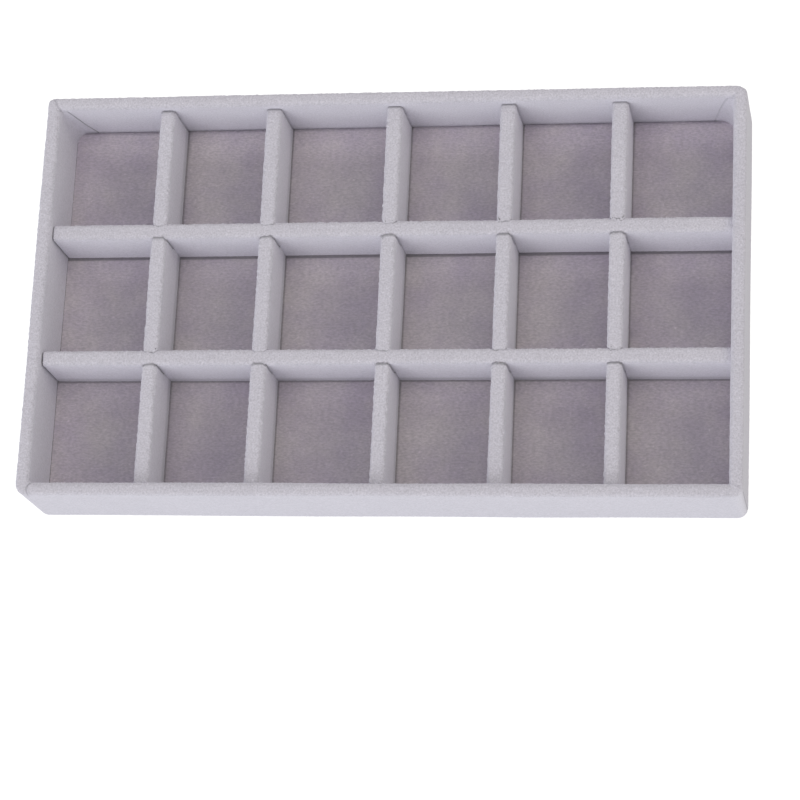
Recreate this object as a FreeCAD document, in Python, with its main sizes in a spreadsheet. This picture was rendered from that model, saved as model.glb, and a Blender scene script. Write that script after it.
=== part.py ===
import FreeCAD, Part

import math
import os

import Sketcher

# A velvet-covered jewelry tray with a drop-in grid of dividers, in millimetres.
# The origin is the middle of the resting face, +X runs along the width and -Y is the front.

# Driving sizes: alias, value, what it measures
SIZES = (
    ("tray_width", 240.0, "outside width over the velvet, along X"),
    ("tray_depth", 141.0, "outside depth over the velvet, along Y"),
    ("tray_height", 30.0, "height from the resting face to the rim"),
    ("corner_radius", 3.5, "outside radius of the upright corners, seen from above"),
    ("velvet", 1.0, "thickness of the velvet with its pile"),
    ("wall_board", 2.5, "thickness of the four wall boards"),
    ("wall_edge_radius", 0.5, "rounding along the top edges of the wall boards"),
    ("bottom_cover", 0.6, "thickness of the cover under the tray"),
    ("bottom_cover_inset", 3.0, "how far the bottom cover stops short of the outside"),
    ("bottom_cover_radius", 4.0, "corner radius of the bottom cover"),
    ("hem_width", 10.0, "how far the wall velvet reaches in under the base"),
    ("base_board", 2.5, "thickness of the base board"),
    ("floor_card", 1.4, "thickness of the card under the floor velvet"),
    ("floor_clearance", 0.3, "gap between the floor insert and the wall velvet"),
    ("divider_board", 3.2, "thickness of the divider boards"),
    ("divider_edge_radius", 0.3, "rounding along the top edges of the divider boards"),
    ("divider_height", 20.3, "height of a covered divider over its lower edge"),
    ("seat_clearance", 0.2, "gap between the floor velvet and the divider grid"),
    ("end_clearance", 0.3, "gap between a divider's end and the wall velvet"),
    ("lap_clearance", 0.15, "gap round a divider in the slot that it crosses"),
    ("cut_overrun", 1.0, "how far a cut runs past the face that it opens"),
)

# Middles of the dividers as shares of the room between the walls, from the left and from the front
CROSS_SHARES = (0.1626, 0.3242, 0.505, 0.6729, 0.8364)
LONG_SHARES = (0.3302, 0.6685)

# Share of a divider's height at which the long and the cross dividers lap
LAP_SHARE = 0.5

# Thicknesses over the velvet, and the room between the walls
WALL = "(Sizes.wall_board + 2 * Sizes.velvet)"
DIVIDER = "(Sizes.divider_board + 2 * Sizes.velvet)"
INSIDE_WIDTH = f"(Sizes.tray_width - 2 * {WALL})"
INSIDE_DEPTH = f"(Sizes.tray_depth - 2 * {WALL})"

# A wall board's faces, as distances in from the tray's outside
BOARD_NEAR = "Sizes.velvet"
BOARD_FAR = "(Sizes.velvet + Sizes.wall_board)"

# Levels, from the resting face up
HEM_BOTTOM = "Sizes.bottom_cover"
BASE_BOTTOM = f"({HEM_BOTTOM} + Sizes.velvet)"
BASE_TOP = f"({BASE_BOTTOM} + Sizes.base_board)"
CARD_TOP = f"({BASE_TOP} + Sizes.floor_card)"
FLOOR_TOP = f"({CARD_TOP} + Sizes.velvet)"
GRID_BOTTOM = f"({FLOOR_TOP} + Sizes.seat_clearance)"

# Levels on a divider, from its lower edge up
DIVIDER_BOARD_TOP = "(Sizes.divider_height - Sizes.velvet)"
LAP_LEVEL = f"({LAP_SHARE} * Sizes.divider_height)"
BELOW_DIVIDER = "-Sizes.cut_overrun"
ABOVE_DIVIDER = "(Sizes.divider_height + Sizes.cut_overrun)"

# Lengths of the dividers, and their middles in the tray
LONG_LENGTH = f"({INSIDE_WIDTH} - 2 * Sizes.end_clearance)"
CROSS_LENGTH = f"({INSIDE_DEPTH} - 2 * Sizes.end_clearance)"
CROSS_PLACES = [f"(({share} - 1 / 2) * {INSIDE_WIDTH})" for share in CROSS_SHARES]
LONG_PLACES = [f"(({share} - 1 / 2) * {INSIDE_DEPTH})" for share in LONG_SHARES]
LONG_NAMES = ("long_divider_front", "long_divider_back")
CROSS_TURN = 90

# The walls: name, length, middle of the outer face, turn about Z in degrees
WALLS = (
    ("front", "Sizes.tray_width", "0", "-Sizes.tray_depth / 2", 0),
    ("right", "Sizes.tray_depth", "Sizes.tray_width / 2", "0", 90),
    ("back", "Sizes.tray_width", "0", "Sizes.tray_depth / 2", 180),
    ("left", "Sizes.tray_depth", "-Sizes.tray_width / 2", "0", 270),
)


def make_sheet(doc):
    """Spreadsheet of the driving sizes: a note in column A, the number and its alias in column B."""
    sheet = doc.addObject("Spreadsheet::Sheet", "Sizes")
    for row, (alias, number, note) in enumerate(SIZES, 1):
        sheet.set(f"A{row}", note)
        sheet.set(f"B{row}", str(number))
        sheet.setAlias(f"B{row}", alias)
    doc.recompute()


def value(expression):
    """Number that an expression of the sheet's sizes stands for."""
    return float(FreeCAD.ActiveDocument.Sizes.evalExpression(expression))


def new_body(label):
    """Empty body whose label names its file."""
    body = FreeCAD.ActiveDocument.addObject("PartDesign::Body", label)
    body.Label = label
    return body


def place(body, x="0", y="0", z="0", turn=0):
    """Put a body where it sits in the tray, turned about the vertical."""
    upright = FreeCAD.Vector(0, 0, 1)
    body.Placement = FreeCAD.Placement(FreeCAD.Vector(), FreeCAD.Rotation(upright, turn))
    for axis, expression in zip("xyz", (x, y, z)):
        body.setExpression(f"Placement.Base.{axis}", expression)


def new_sketch(body, name, role="XY_Plane", level="0"):
    """Sketch on one of the body's own origin planes, lifted to a level along the plane's normal."""
    sketch = body.newObject("Sketcher::SketchObject", f"{body.Label}_{name}")
    plane = next(feature for feature in body.Origin.OriginFeatures if feature.Role == role)
    sketch.AttachmentSupport = [(plane, "")]
    sketch.MapMode = "FlatFace"
    sketch.setExpression("AttachmentOffset.Base.z", level)
    return sketch


def arc_between(start, end, radius):
    """Arc of less than half a turn that runs counter-clockwise from start to end."""
    chord = end - start
    rise = math.sqrt(radius ** 2 - (chord.Length / 2) ** 2)
    left = FreeCAD.Vector(-chord.y, chord.x, 0).normalize()
    centre = (start + end) / 2 + left * rise
    angles = [math.atan2(point.y - centre.y, point.x - centre.x) for point in (start, end)]
    circle = Part.Circle(centre, FreeCAD.Vector(0, 0, 1), radius)
    return Part.ArcOfCircle(circle, *angles)


def draw_outline(sketch, corners, arcs=None):
    """Add a closed outline, counter-clockwise, with every corner tied to the sheet.

    A corner is a pair of expressions. arcs gives the radius of each side that is an arc, by the
    number of the corner that it starts from.
    """
    arcs = arcs or {}
    first = sketch.GeometryCount
    count = len(corners)
    points = [FreeCAD.Vector(value(x), value(y), 0) for x, y in corners]
    for side in range(count):
        start, end = points[side], points[(side + 1) % count]
        if side in arcs:
            sketch.addGeometry(arc_between(start, end, value(arcs[side])), False)
        else:
            sketch.addGeometry(Part.LineSegment(start, end), False)
    for side in range(count):
        follower = first + (side + 1) % count
        sketch.addConstraint(Sketcher.Constraint("Coincident", first + side, 2, follower, 1))
    for side, (x, y) in enumerate(corners):
        for kind, expression in (("DistanceX", x), ("DistanceY", y)):
            distance = Sketcher.Constraint(kind, -1, 1, first + side, 1, value(expression))
            number = sketch.addConstraint(distance)
            sketch.setExpression(f"Constraints[{number}]", expression)
    for side, radius in arcs.items():
        number = sketch.addConstraint(Sketcher.Constraint("Radius", first + side, value(radius)))
        sketch.setExpression(f"Constraints[{number}]", radius)


def rectangle(width, depth):
    """Corners of a rectangle about the sketch's origin."""
    right, back = f"({width}) / 2", f"({depth}) / 2"
    return [(f"-{right}", f"-{back}"), (right, f"-{back}"), (right, back), (f"-{right}", back)]


def rounded_rectangle(width, depth, radius):
    """Corners and arcs of a rectangle with round corners about the sketch's origin."""
    right, back = f"({width}) / 2", f"({depth}) / 2"
    inner_right, inner_back = f"({right} - {radius})", f"({back} - {radius})"
    corners = [
        (f"-{inner_right}", f"-{back}"), (inner_right, f"-{back}"),
        (right, f"-{inner_back}"), (right, inner_back),
        (inner_right, back), (f"-{inner_right}", back),
        (f"-{right}", inner_back), (f"-{right}", f"-{inner_back}"),
    ]
    return corners, {side: radius for side in (1, 3, 5, 7)}


def mitred_strip(length, near, far):
    """Plan of a strip along one wall, between two distances in from the tray's outside."""
    near_end, far_end = f"({length} / 2 - {near})", f"({length} / 2 - {far})"
    return [(f"-{near_end}", near), (near_end, near), (far_end, far), (f"-{far_end}", far)]


def mitred_wall(length, near, far):
    """Plan of a mitred wall whose outer corners follow the tray's upright corners."""
    radius = f"(Sizes.corner_radius - {near})"
    diagonal = f"({radius} * sqrt(1 / 2))"
    straight_end = f"({length} / 2 - Sizes.corner_radius)"
    mitre_end = f"({straight_end} + {diagonal})"
    mitre_depth = f"(Sizes.corner_radius - {diagonal})"
    inner_end = f"({length} / 2 - {far})"
    corners = [
        (f"-{straight_end}", near), (straight_end, near), (mitre_end, mitre_depth),
        (inner_end, far), (f"-{inner_end}", far), (f"-{mitre_end}", mitre_depth),
    ]
    return corners, {1: radius, 5: radius}


def add_pad(body, name, sketch, length):
    """Raise the sketch into a solid."""
    pad = body.newObject("PartDesign::Pad", f"{body.Label}_{name}")
    pad.Profile = sketch
    pad.setExpression("Length", length)
    FreeCAD.ActiveDocument.recompute()


def add_pocket(body, name, sketch, length, side="One side", upward=False):
    """Cut the sketch out of the body, and make sure that the cut takes something away."""
    before = body.Shape.Volume
    pocket = body.newObject("PartDesign::Pocket", f"{body.Label}_{name}")
    pocket.Profile = sketch
    pocket.SideType = side
    pocket.Reversed = upward
    pocket.setExpression("Length", length)
    FreeCAD.ActiveDocument.recompute()
    if not body.Shape.Volume < before:
        raise RuntimeError(f"{pocket.Name} cuts nothing")


def same(first, second):
    """True for two lengths that differ by no more than rounding."""
    return math.isclose(first, second, abs_tol=Part.Precision.approximation())


def runs_along(edge, height):
    """True for an edge at one height that runs along its piece, not across its end."""
    start, end = edge.firstVertex().Point, edge.lastVertex().Point
    level = same(start.z, height) and same(end.z, height)
    return level and (same(start.y, end.y) or isinstance(edge.Curve, Part.Circle))


def round_long_edges(body, name, level, radius):
    """Fillet the edges that run along a piece at one level."""
    base = body.Tip
    height = value(level)
    edges = enumerate(base.Shape.Edges, 1)
    fillet = body.newObject("PartDesign::Fillet", f"{body.Label}_{name}")
    fillet.Base = (base, [f"Edge{number}" for number, edge in edges if runs_along(edge, height)])
    fillet.setExpression("Radius", radius)
    FreeCAD.ActiveDocument.recompute()


def make_base_board():
    """Board under everything, rounded like the tray's corners less the velvet."""
    body = new_body("base_board")
    plan = new_sketch(body, "plan")
    width = "(Sizes.tray_width - 2 * Sizes.velvet)"
    depth = "(Sizes.tray_depth - 2 * Sizes.velvet)"
    draw_outline(plan, *rounded_rectangle(width, depth, "(Sizes.corner_radius - Sizes.velvet)"))
    add_pad(body, "sheet", plan, "Sizes.base_board")
    place(body, z=BASE_BOTTOM)


def make_bottom_cover():
    """Sheet that the tray rests on, glued over the hems of the wall velvet."""
    body = new_body("bottom_cover")
    plan = new_sketch(body, "plan")
    width = "(Sizes.tray_width - 2 * Sizes.bottom_cover_inset)"
    depth = "(Sizes.tray_depth - 2 * Sizes.bottom_cover_inset)"
    draw_outline(plan, *rounded_rectangle(width, depth, "Sizes.bottom_cover_radius"))
    add_pad(body, "sheet", plan, "Sizes.bottom_cover")
    place(body)


def make_floor_layer(label, thickness, level):
    """One layer of the floor insert, which drops in between the wall linings."""
    body = new_body(label)
    plan = new_sketch(body, "plan")
    width = f"({INSIDE_WIDTH} - 2 * Sizes.floor_clearance)"
    depth = f"({INSIDE_DEPTH} - 2 * Sizes.floor_clearance)"
    draw_outline(plan, rectangle(width, depth))
    add_pad(body, "sheet", plan, thickness)
    place(body, z=level)


def make_wall_board(side, length, x, y, turn):
    """Mitred board that stands on the base board, with its top edges rounded."""
    body = new_body(f"{side}_wall_board")
    height = f"(Sizes.tray_height - Sizes.velvet - {BASE_TOP})"
    plan = new_sketch(body, "plan")
    draw_outline(plan, *mitred_wall(length, BOARD_NEAR, BOARD_FAR))
    add_pad(body, "board", plan, height)
    round_long_edges(body, "rounding", height, "Sizes.wall_edge_radius")
    place(body, x, y, BASE_TOP, turn)


def make_wall_velvet(side, length, x, y, turn):
    """Velvet over one wall: down its inside to the base, over the rim, down its outside and under."""
    body = new_body(f"{side}_wall_velvet")
    height = f"(Sizes.tray_height - {HEM_BOTTOM})"
    board_top = f"({height} - Sizes.velvet)"
    outside = new_sketch(body, "plan")
    draw_outline(outside, *mitred_wall(length, "0", WALL))
    add_pad(body, "outside", outside, height)
    round_long_edges(body, "rim", height, "Sizes.wall_edge_radius + Sizes.velvet")
    board_plan = new_sketch(body, "board_plan", level="Sizes.velvet")
    draw_outline(board_plan, *mitred_wall(length, BOARD_NEAR, BOARD_FAR))
    add_pocket(body, "board_room", board_plan, f"{board_top} - Sizes.velvet", upward=True)
    round_long_edges(body, "fold", board_top, "Sizes.wall_edge_radius")
    base_plan = new_sketch(body, "base_plan", level="Sizes.velvet")
    draw_outline(base_plan, *mitred_wall(length, BOARD_NEAR, f"({WALL} + Sizes.cut_overrun)"))
    add_pocket(body, "base_room", base_plan, "Sizes.base_board", upward=True)
    hem_plan = new_sketch(body, "hem_plan")
    draw_outline(hem_plan, mitred_strip(length, WALL, "Sizes.hem_width"))
    add_pad(body, "hem", hem_plan, "Sizes.velvet")
    place(body, x, y, HEM_BOTTOM, turn)


def cut_slots(body, places, low, high):
    """Slots through a divider where others cross it."""
    plan = new_sketch(body, "slot_plan", role="XZ_Plane")
    half = f"({DIVIDER} / 2 + Sizes.lap_clearance)"
    for middle in places:
        left, right = f"({middle} - {half})", f"({middle} + {half})"
        draw_outline(plan, [(left, low), (right, low), (right, high), (left, high)])
    add_pocket(body, "slots", plan, f"{DIVIDER} + 2 * Sizes.cut_overrun", side="Symmetric")


def make_divider_board(name, length):
    """Divider board along local X, before its slots."""
    body = new_body(f"{name}_board")
    plan = new_sketch(body, "plan")
    draw_outline(plan, rectangle(length, "Sizes.divider_board"))
    add_pad(body, "board", plan, DIVIDER_BOARD_TOP)
    round_long_edges(body, "rounding", DIVIDER_BOARD_TOP, "Sizes.divider_edge_radius")
    return body


def make_divider_velvet(name, length):
    """Velvet folded over a divider board, open at its lower edge and its ends, before its slots."""
    body = new_body(f"{name}_velvet")
    plan = new_sketch(body, "plan")
    draw_outline(plan, rectangle(length, DIVIDER))
    add_pad(body, "outside", plan, "Sizes.divider_height")
    round_long_edges(body, "crest", "Sizes.divider_height", "Sizes.divider_edge_radius + Sizes.velvet")
    board_plan = new_sketch(body, "board_plan")
    draw_outline(board_plan, rectangle(f"{length} + 2 * Sizes.cut_overrun", "Sizes.divider_board"))
    add_pocket(body, "board_room", board_plan, DIVIDER_BOARD_TOP, upward=True)
    round_long_edges(body, "fold", DIVIDER_BOARD_TOP, "Sizes.divider_edge_radius")
    return body


def make_long_divider(name, middle):
    """Divider along the width, slotted from below so that it runs unbroken over the crossings."""
    for make in (make_divider_board, make_divider_velvet):
        body = make(name, LONG_LENGTH)
        cut_slots(body, CROSS_PLACES, BELOW_DIVIDER, f"({LAP_LEVEL} + Sizes.lap_clearance)")
        place(body, y=middle, z=GRID_BOTTOM)


def make_cross_divider(name, middle):
    """Divider along the depth, slotted from above to take the long dividers."""
    for make in (make_divider_board, make_divider_velvet):
        body = make(name, CROSS_LENGTH)
        cut_slots(body, LONG_PLACES, f"({LAP_LEVEL} - Sizes.lap_clearance)", ABOVE_DIVIDER)
        place(body, x=middle, z=GRID_BOTTOM, turn=CROSS_TURN)


def check(doc):
    """Stop if any object failed or any piece is not one valid solid."""
    for thing in doc.Objects:
        if "Invalid" in thing.State or "Error" in thing.State:
            raise RuntimeError(f"{thing.Name} failed: {thing.State}")
    for body in doc.findObjects("PartDesign::Body"):
        shape = body.Shape
        if shape.isNull() or not shape.isValid() or len(shape.Solids) != 1:
            raise RuntimeError(f"{body.Label} is not one valid solid")


def write_parts(doc):
    """One STEP file for each piece, named by its label."""
    os.makedirs("parts", exist_ok=True)
    for body in doc.findObjects("PartDesign::Body"):
        body.Shape.exportStep(f"parts/{body.Label}.step")


def main():
    doc = FreeCAD.newDocument("jewelry_tray")
    make_sheet(doc)
    make_bottom_cover()
    make_base_board()
    make_floor_layer("floor_card", "Sizes.floor_card", BASE_TOP)
    make_floor_layer("floor_velvet", "Sizes.velvet", CARD_TOP)
    for wall in WALLS:
        make_wall_board(*wall)
        make_wall_velvet(*wall)
    for name, middle in zip(LONG_NAMES, LONG_PLACES):
        make_long_divider(name, middle)
    for number, middle in enumerate(CROSS_PLACES, 1):
        make_cross_divider(f"cross_divider_{number}", middle)
    doc.recompute()
    check(doc)
    write_parts(doc)


main()
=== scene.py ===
"""Velvet, felt and board finishes for a jewelry tray with a lift-out grid of dividers."""

import math
from collections import namedtuple

import bmesh
import bpy
from bpy.props import FloatProperty, FloatVectorProperty, PointerProperty
from mathutils import Matrix, Vector, noise


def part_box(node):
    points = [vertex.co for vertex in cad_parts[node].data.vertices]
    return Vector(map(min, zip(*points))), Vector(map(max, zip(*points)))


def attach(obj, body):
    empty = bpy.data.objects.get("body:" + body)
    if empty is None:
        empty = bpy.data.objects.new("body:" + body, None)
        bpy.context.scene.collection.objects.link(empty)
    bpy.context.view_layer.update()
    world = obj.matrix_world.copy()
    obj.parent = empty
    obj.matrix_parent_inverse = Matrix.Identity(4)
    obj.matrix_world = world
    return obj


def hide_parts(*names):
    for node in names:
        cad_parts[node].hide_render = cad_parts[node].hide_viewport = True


bl_info = {
    "name": "Jewelry tray finish",
    "version": (1, 0, 0),
    "blender": (4, 5, 0),
    "location": "View3D > Sidebar > Jewelry tray",
    "description": "Dresses a jewelry tray and its lift-out divider grid in velvet",
    "category": "Object",
}

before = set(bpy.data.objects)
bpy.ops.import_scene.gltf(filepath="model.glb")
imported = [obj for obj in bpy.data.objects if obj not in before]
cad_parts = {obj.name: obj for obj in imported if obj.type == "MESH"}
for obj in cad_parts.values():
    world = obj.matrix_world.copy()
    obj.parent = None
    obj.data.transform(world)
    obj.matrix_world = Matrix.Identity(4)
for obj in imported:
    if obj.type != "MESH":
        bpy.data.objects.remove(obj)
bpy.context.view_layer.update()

MM = 0.001
UP = Vector((0, 0, 1))
ALONG_WIDTH = Vector((1, 0, 0))
ALONG_DEPTH = Vector((0, 1, 0))
STILL = Vector((0, 0, 0))
QUARTER_TURN = math.pi / 2

# The tray's outside, and the thicknesses that its solids show
HALF_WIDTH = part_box("right_wall_velvet")[1].x
HALF_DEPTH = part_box("back_wall_velvet")[1].y
HEM_LEVEL, RIM_LEVEL = (corner.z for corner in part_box("front_wall_velvet"))
FLOOR_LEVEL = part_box("floor_velvet")[1].z
LINING_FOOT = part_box("front_wall_board")[0].z
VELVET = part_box("front_wall_board")[0].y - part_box("front_wall_velvet")[0].y
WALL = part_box("front_wall_board")[1].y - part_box("front_wall_velvet")[0].y + VELVET
INNER_WIDTH = HALF_WIDTH - WALL
INNER_DEPTH = HALF_DEPTH - WALL

# Spacing of the mesh along a strip of cloth, across it and round its bends, the length of an edge that
# is still to be split, and how near a plane the faces are that a new row of edges runs through
LONG_STEP = 0.45 * MM
CROSS_STEP = 1.0 * MM
BEND_STEP = 0.35 * MM
LONG_EDGE = 2 * CROSS_STEP
ROW_REACH = 2 * CROSS_STEP
WELD = 0.001 * MM

# How the pile stands: the size of its clumps, how many finer ones go across each and how tall they are,
# how much of it is left where a wall or a divider stands upright, how much more there is along the
# bends of each, and the length of the slow sway along a strip
CLUMP = 0.8 * MM
FINE_CLUMPS = 2
FINE_CLUMP_SHARE = 0.6
UPRIGHT_SHARE = 0.3
WALL_BEND_SHARE = 0.4
DIVIDER_BEND_SHARE = 1.3
SWAY_LENGTH = 45.0 * MM

# How far the top of the back wall is drawn in at its left and right ends
BACK_DRAW = (0.1 * MM, 0.75 * MM)

# Rows of mesh that round off a cut edge, as shares of the rounding
FOLD_ROW_SHARES = (0.0, 0.08, 0.3, 0.62, 1.0)

# The slots of a divider: the lap's height, and on its front and back edges the gap, the rounding,
# the band of painted shade for the gap's shadow, and how much of the way the velvet leans over the
# crest that crosses it
LAP_SHARE = 0.5
SLOT_GAPS = (0.22 * MM, 0.02 * MM)
SLOT_FOLDS = (0.4 * MM, 0.12 * MM)
SLOT_PAINTED_SHADE = (0.7 * MM, 0.15 * MM)
SLOT_LEANS = (0.6, 0.95)

# How near a corner the faces are that its seams cut, over the rim and on the lining
RIM_SEAM_REACH = 3 * WALL
LINING_SEAM_REACH = 2 * WALL

# Width of the band of painted shade along a seam, for the shade in its crease, and how soon across
# any band of painted shade it is at full strength
SEAM_PAINTED_SHADE = 0.5 * MM
PAINTED_SHADE_GAIN = 2.0

# Foot of the back wall's lining: how far and from what height above the floor it is pushed home, and the
# painted shade along it, where the floor meets the wall: its strength, its height above the floor and
# half its width
BACK_PUSH = 0.5 * MM
BACK_PUSH_RISE = 8.0 * MM
BACK_PAINTED_SHADE = 0.3
BACK_SHADE_RISE = 0.6 * MM
BACK_SHADE_HALF = 0.9 * MM

# Rounding of a divider's two ends and their band of painted shade, for the shade of the gap at the
# wall, and how far the second is pushed towards its wall
LONG_ENDS = ((0.6 * MM, 0.4 * MM), (0.15 * MM, 0.05 * MM))
CROSS_ENDS = ((0.15 * MM, 0.05 * MM), (0.4 * MM, 0.7 * MM))
END_PUSH = 0.25 * MM

LONG_DIVIDERS = ("long_divider_front", "long_divider_back")
CROSS_DIVIDERS = tuple(f"cross_divider_{number}" for number in range(1, 6))

# Foot of a divider: the width of its band of painted shade, for the shadow at the foot, and how strong
# that is, the reach of its mark's painted shade past it on the floor and how strong that is, and how
# much painted light the floor gets along it
Foot = namedtuple("Foot", "band flat reach mark lift")
CROSS_FOOT = Foot(5.0 * MM, 0.92, 0.3 * MM, 0.4, 0.1)
FEET = {
    **{name: CROSS_FOOT for name in CROSS_DIVIDERS},
    "long_divider_front": Foot(4.6 * MM, 0.88, 0.25 * MM, 0.4, 0.2),
    "long_divider_back": Foot(0.6 * MM, 0.0, 0.7 * MM, 0.65, 0.2),
}

# Marks on the floor, painted shade along the walls and the dividers' feet: their soft edge, how far in
# under the foot they stay dark and then fade, and the strength of the middle of a mark, left as a
# faint imprint in the pile under the foot
MARK_EDGE = 0.12 * MM
MARK_UNDER = 0.25 * MM
MARK_FADE = 0.4 * MM
MARK_MIDDLE = 0.2

# How far from walls and dividers the floor gets painted light, and how soon it is at full strength
PAINTED_LIGHT_REACH = 15.0 * MM
PAINTED_LIGHT_GAIN = 1.6

# Value that the mesh carries for the cloth: painted shade in seams, gaps and along the feet, painted
# light where it is below nought, and how much darker the colour is at full painted shade
PAINTED_SHADING = "pressed"
PAINTED_SHADE_DARK = 0.95

# Side of its skin to which a sheet thickens
INWARDS = -1

SIGNS = {"left": -1, "right": 1, "front": -1, "back": 1}

# How the strips meet at a corner, in millimetres and degrees: the seam's start along the end wall, its
# angle from front to back over the rim and its bow, how far the side lining turns onto the end wall
# at the rim and at the floor, the power of its edge's curve, how deep the seam is, and how strong the
# painted shade along it, over the rim, on the lining and down the outside, the lining's upright radius
# at the floor, and the outside radius
Corner = namedtuple(
    "Corner",
    "side end start angle bow flap_top flap_foot flap_curve on_rim on_lining outside foot_radius radius")
CORNERS = (
    Corner("left", "front", 1.3, 15, 1.0, 2.0, 6.0, 1.0, 0.35, 0.6, 0.0, 3.0, 4.0),
    Corner("right", "front", 0.0, 66, 0.2, 1.5, 6.5, 0.8, 0.1, 0.6, 0.6, 3.0, 3.5),
    Corner("left", "back", 0.0, 27, 0.3, 1.6, 7.2, 1.0, 0.3, 0.9, 0.4, 4.2, 2.2),
    Corner("right", "back", 0.0, 35, 0.2, 0.6, 7.6, 0.65, 0.1, 0.4, 0.3, 6.5, 3.5),
)
FOOT_RADII = {(corner.side, corner.end): corner.foot_radius * MM for corner in CORNERS}
OUTSIDE_RADII = {(corner.side, corner.end): corner.radius * MM for corner in CORNERS}

# Mark on the floor: an axis, two places along it, its reach past them, the strength of its painted shade,
# and how much painted light the floor gets along it; of the walls, only the left one has painted shade
# along its foot
Mark = namedtuple("Mark", "axis start end reach flat lift")
WALL_MARKS = (
    Mark(ALONG_WIDTH, -HALF_WIDTH, -INNER_WIDTH, 0.1 * MM, 0.6, 0.25),
    Mark(ALONG_WIDTH, INNER_WIDTH, HALF_WIDTH, 0.0, 0.0, 0.12),
    Mark(ALONG_DEPTH, -HALF_DEPTH, -INNER_DEPTH, 0.0, 0.0, 0.1),
    Mark(ALONG_DEPTH, INNER_DEPTH, HALF_DEPTH, 0.0, 0.0, 0.36),
)


def span(name, default, description):
    """Length that can be set in the panel."""
    return FloatProperty(name=name, description=description, default=default, min=0, subtype="DISTANCE")


def tone(name, default, description):
    """Colour that can be set in the panel."""
    return FloatVectorProperty(
        name=name, description=description, default=default, min=0, max=1, subtype="COLOR")


class TraySizes(bpy.types.PropertyGroup):
    """Sizes of the soft work."""

    inner_radius: span("Inner radius", 0.8 * MM, "Radius of the lining's upright corners under the rim")
    rim_radius: span("Rim radius", 1.8 * MM, "Rounding of the velvet along the rim's inner edge")
    rim_outer_radius: span(
        "Outer rim radius", 1.1 * MM, "Rounding of the velvet along the rim's outer edge")
    hem_radius: span("Hem radius", 0.9 * MM, "Rounding where the velvet turns in under the base")
    hem_shown: span("Hem shown", 3.8 * MM, "How much of the hem is modelled round the bottom cover")
    crest_radius: span("Crest radius", 1.3 * MM, "Rounding along the top of a divider")
    seam_fold: span("Seam fold", 0.5 * MM, "Rounding of the velvet into a seam")
    foot_fold: span("Foot fold", 0.7 * MM, "Rounding of the velvet under a divider's foot")
    sheet_fold: span("Sheet fold", 0.2 * MM, "Rounding of the edges of the floor and of the bottom cover")
    pile_relief: span("Pile relief", 0.2 * MM, "How far clumps of pile stand proud of the nap")
    sway: span("Sway", 0.15 * MM, "How far a glued strip wanders from a straight line")


class TrayColours(bpy.types.PropertyGroup):
    """Colours of the tray's finishes."""

    velvet: tone("Velvet", (0.47, 0.45, 0.50), "Pile that stands up on the walls and dividers")
    velvet_brushed: tone(
        "Brushed velvet", (0.44, 0.42, 0.47), "Pile on the walls and dividers that lies over")
    floor: tone("Floor velvet", (0.484, 0.436, 0.455), "Pile of the floor that stands up")
    floor_brushed: tone("Brushed floor velvet", (0.397, 0.345, 0.407), "Pile of the floor that lies over")
    felt: tone("Felt", (0.32, 0.30, 0.35), "Bottom cover")
    board: tone("Board", (0.36, 0.24, 0.14), "Pressed fibre board of the walls, base and dividers")
    card: tone("Card", (0.42, 0.39, 0.34), "Grey card under the floor velvet")
    stage: tone("Stage", (0.25, 0.25, 0.25), "Floor that the tray stands on")


def clamp(value):
    """Value held between nought and one."""
    return min(max(value, 0.0), 1.0)


def hump(share):
    """Smooth hump over shares from nought to one, one high in the middle."""
    return 4 * share * (1 - share)


def run(bm, geom, move, steps=1):
    """Carry verts or edges along a straight line, with a skin behind them, and return the far end."""
    swept = bmesh.ops.spin(bm, geom=geom, cent=STILL, axis=UP, dvec=move / steps, angle=0, steps=steps)
    return swept["geom_last"]


def draw(bm, pen, move):
    """Draw a straight part of a strip's section, and return the pen's new place."""
    return run(bm, pen, move, max(1, round(move.length / CROSS_STEP)))


def turn(bm, geom, centre, axis, radius, spacing=BEND_STEP):
    """Carry verts or edges round a quarter turn, with a skin behind them, and return the far end."""
    steps = max(2, math.ceil(radius * QUARTER_TURN / spacing))
    swept = bmesh.ops.spin(
        bm, geom=geom, cent=centre, axis=axis, dvec=STILL, angle=QUARTER_TURN, steps=steps)
    return swept["geom_last"]


def weave(bm):
    """Split the edges that run along a strip into short even steps, the longest first."""
    while True:
        by_count = {}
        for edge in bm.edges:
            if edge.calc_length() > LONG_EDGE:
                by_count.setdefault(round(edge.calc_length() / LONG_STEP), []).append(edge)
        if not by_count:
            return
        count = max(by_count)
        bmesh.ops.subdivide_edges(bm, edges=by_count[count], cuts=count - 1, use_grid_fill=True)


def close_skin(bm):
    """Weld a swept skin, point its faces outwards and make its mesh fine."""
    bmesh.ops.remove_doubles(bm, verts=bm.verts, dist=WELD)
    bmesh.ops.recalc_face_normals(bm, faces=bm.faces)
    weave(bm)


def faces_near(bm, start, normal):
    """Faces that lie within reach of a plane."""
    return [
        face for face in bm.faces
        if abs((face.calc_center_median() - start).dot(normal)) < ROW_REACH]


def cut_rows(bm, faces, start, normal, offsets):
    """Add a row of edges through the faces at each offset from a plane, and return the faces."""
    passed = []
    for offset in sorted(offsets):
        place = start + normal * offset
        geom = list({part for face in faces for part in (*face.verts, *face.edges, face)})
        cut = bmesh.ops.bisect_plane(bm, geom=geom, dist=WELD, plane_co=place, plane_no=normal)
        faces = []
        for part in cut["geom"]:
            if isinstance(part, bmesh.types.BMFace):
                ahead = (part.calc_center_median() - place).dot(normal) > 0
                (faces if ahead else passed).append(part)
    return passed + faces


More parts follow.
